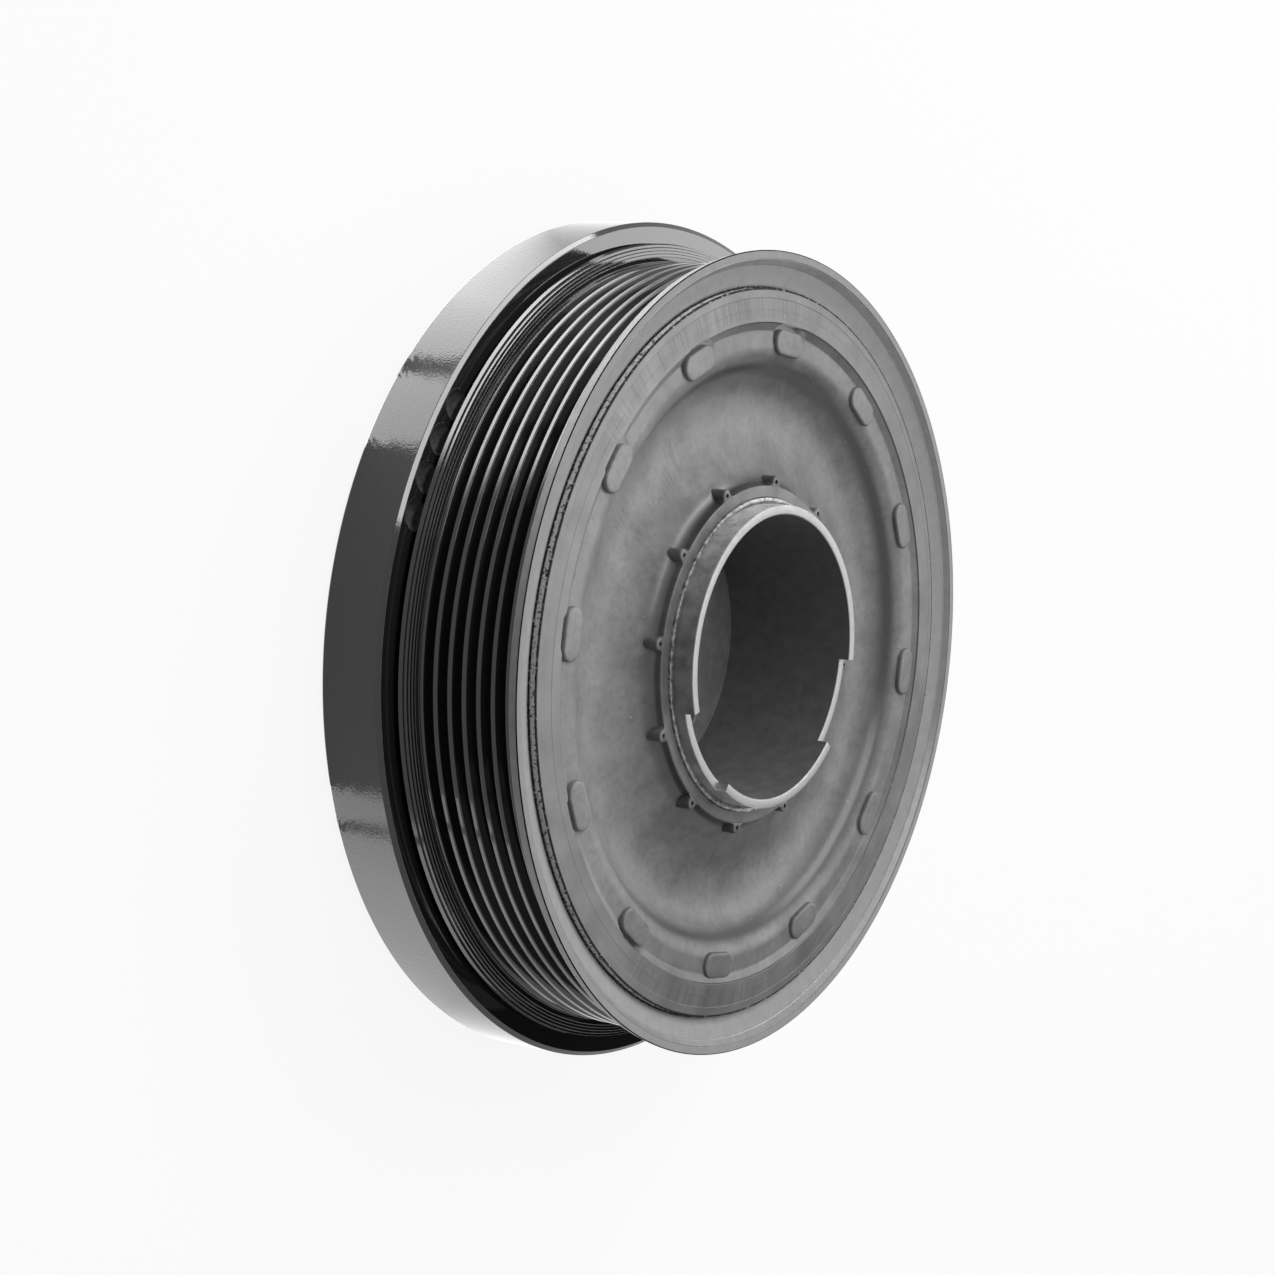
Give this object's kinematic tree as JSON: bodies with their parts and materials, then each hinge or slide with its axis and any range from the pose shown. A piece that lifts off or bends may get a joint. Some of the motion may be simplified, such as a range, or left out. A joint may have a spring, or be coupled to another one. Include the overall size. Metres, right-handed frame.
{
  "type": "harmonic balancer",
  "caption": "Torsionally decoupled crankshaft damper: grooved belt rim on a rubber coupling, inertia ring behind it, stepped hub sleeve and bolt floor inside.",
  "frame": {"origin": "crankshaft axis at the rear plane of the inertia ring", "axes": "+Z along the crankshaft axis out of the front face, towards the end of the stepped sleeve; +X away from the camera of the picture and +Y up in it"},
  "size_m": [0.183, 0.183, 0.0489],
  "materials": {
    "inertia_ring": "gloss black paint",
    "plain_bearing": "matt",
    "pulley_rim": "gloss black paint",
    "coupling_outer_ring": "satin black",
    "coupling_rubber": "moulded",
    "coupling_inner_ring": "bare edge",
    "damper_rubber": "moulded",
    "hub": "satin black with a bare sleeve edge"
  },
  "bodies": {
    "root": {"inertia_ring": "inertia_ring", "plain_bearing": "plain_bearing", "pulley_rim": "pulley_rim", "coupling_outer_ring": "coupling_outer_ring", "coupling_rubber": "coupling_rubber", "coupling_inner_ring": "coupling_inner_ring", "damper_rubber": "damper_rubber", "hub": "hub"}
  },
  "joints": []
}
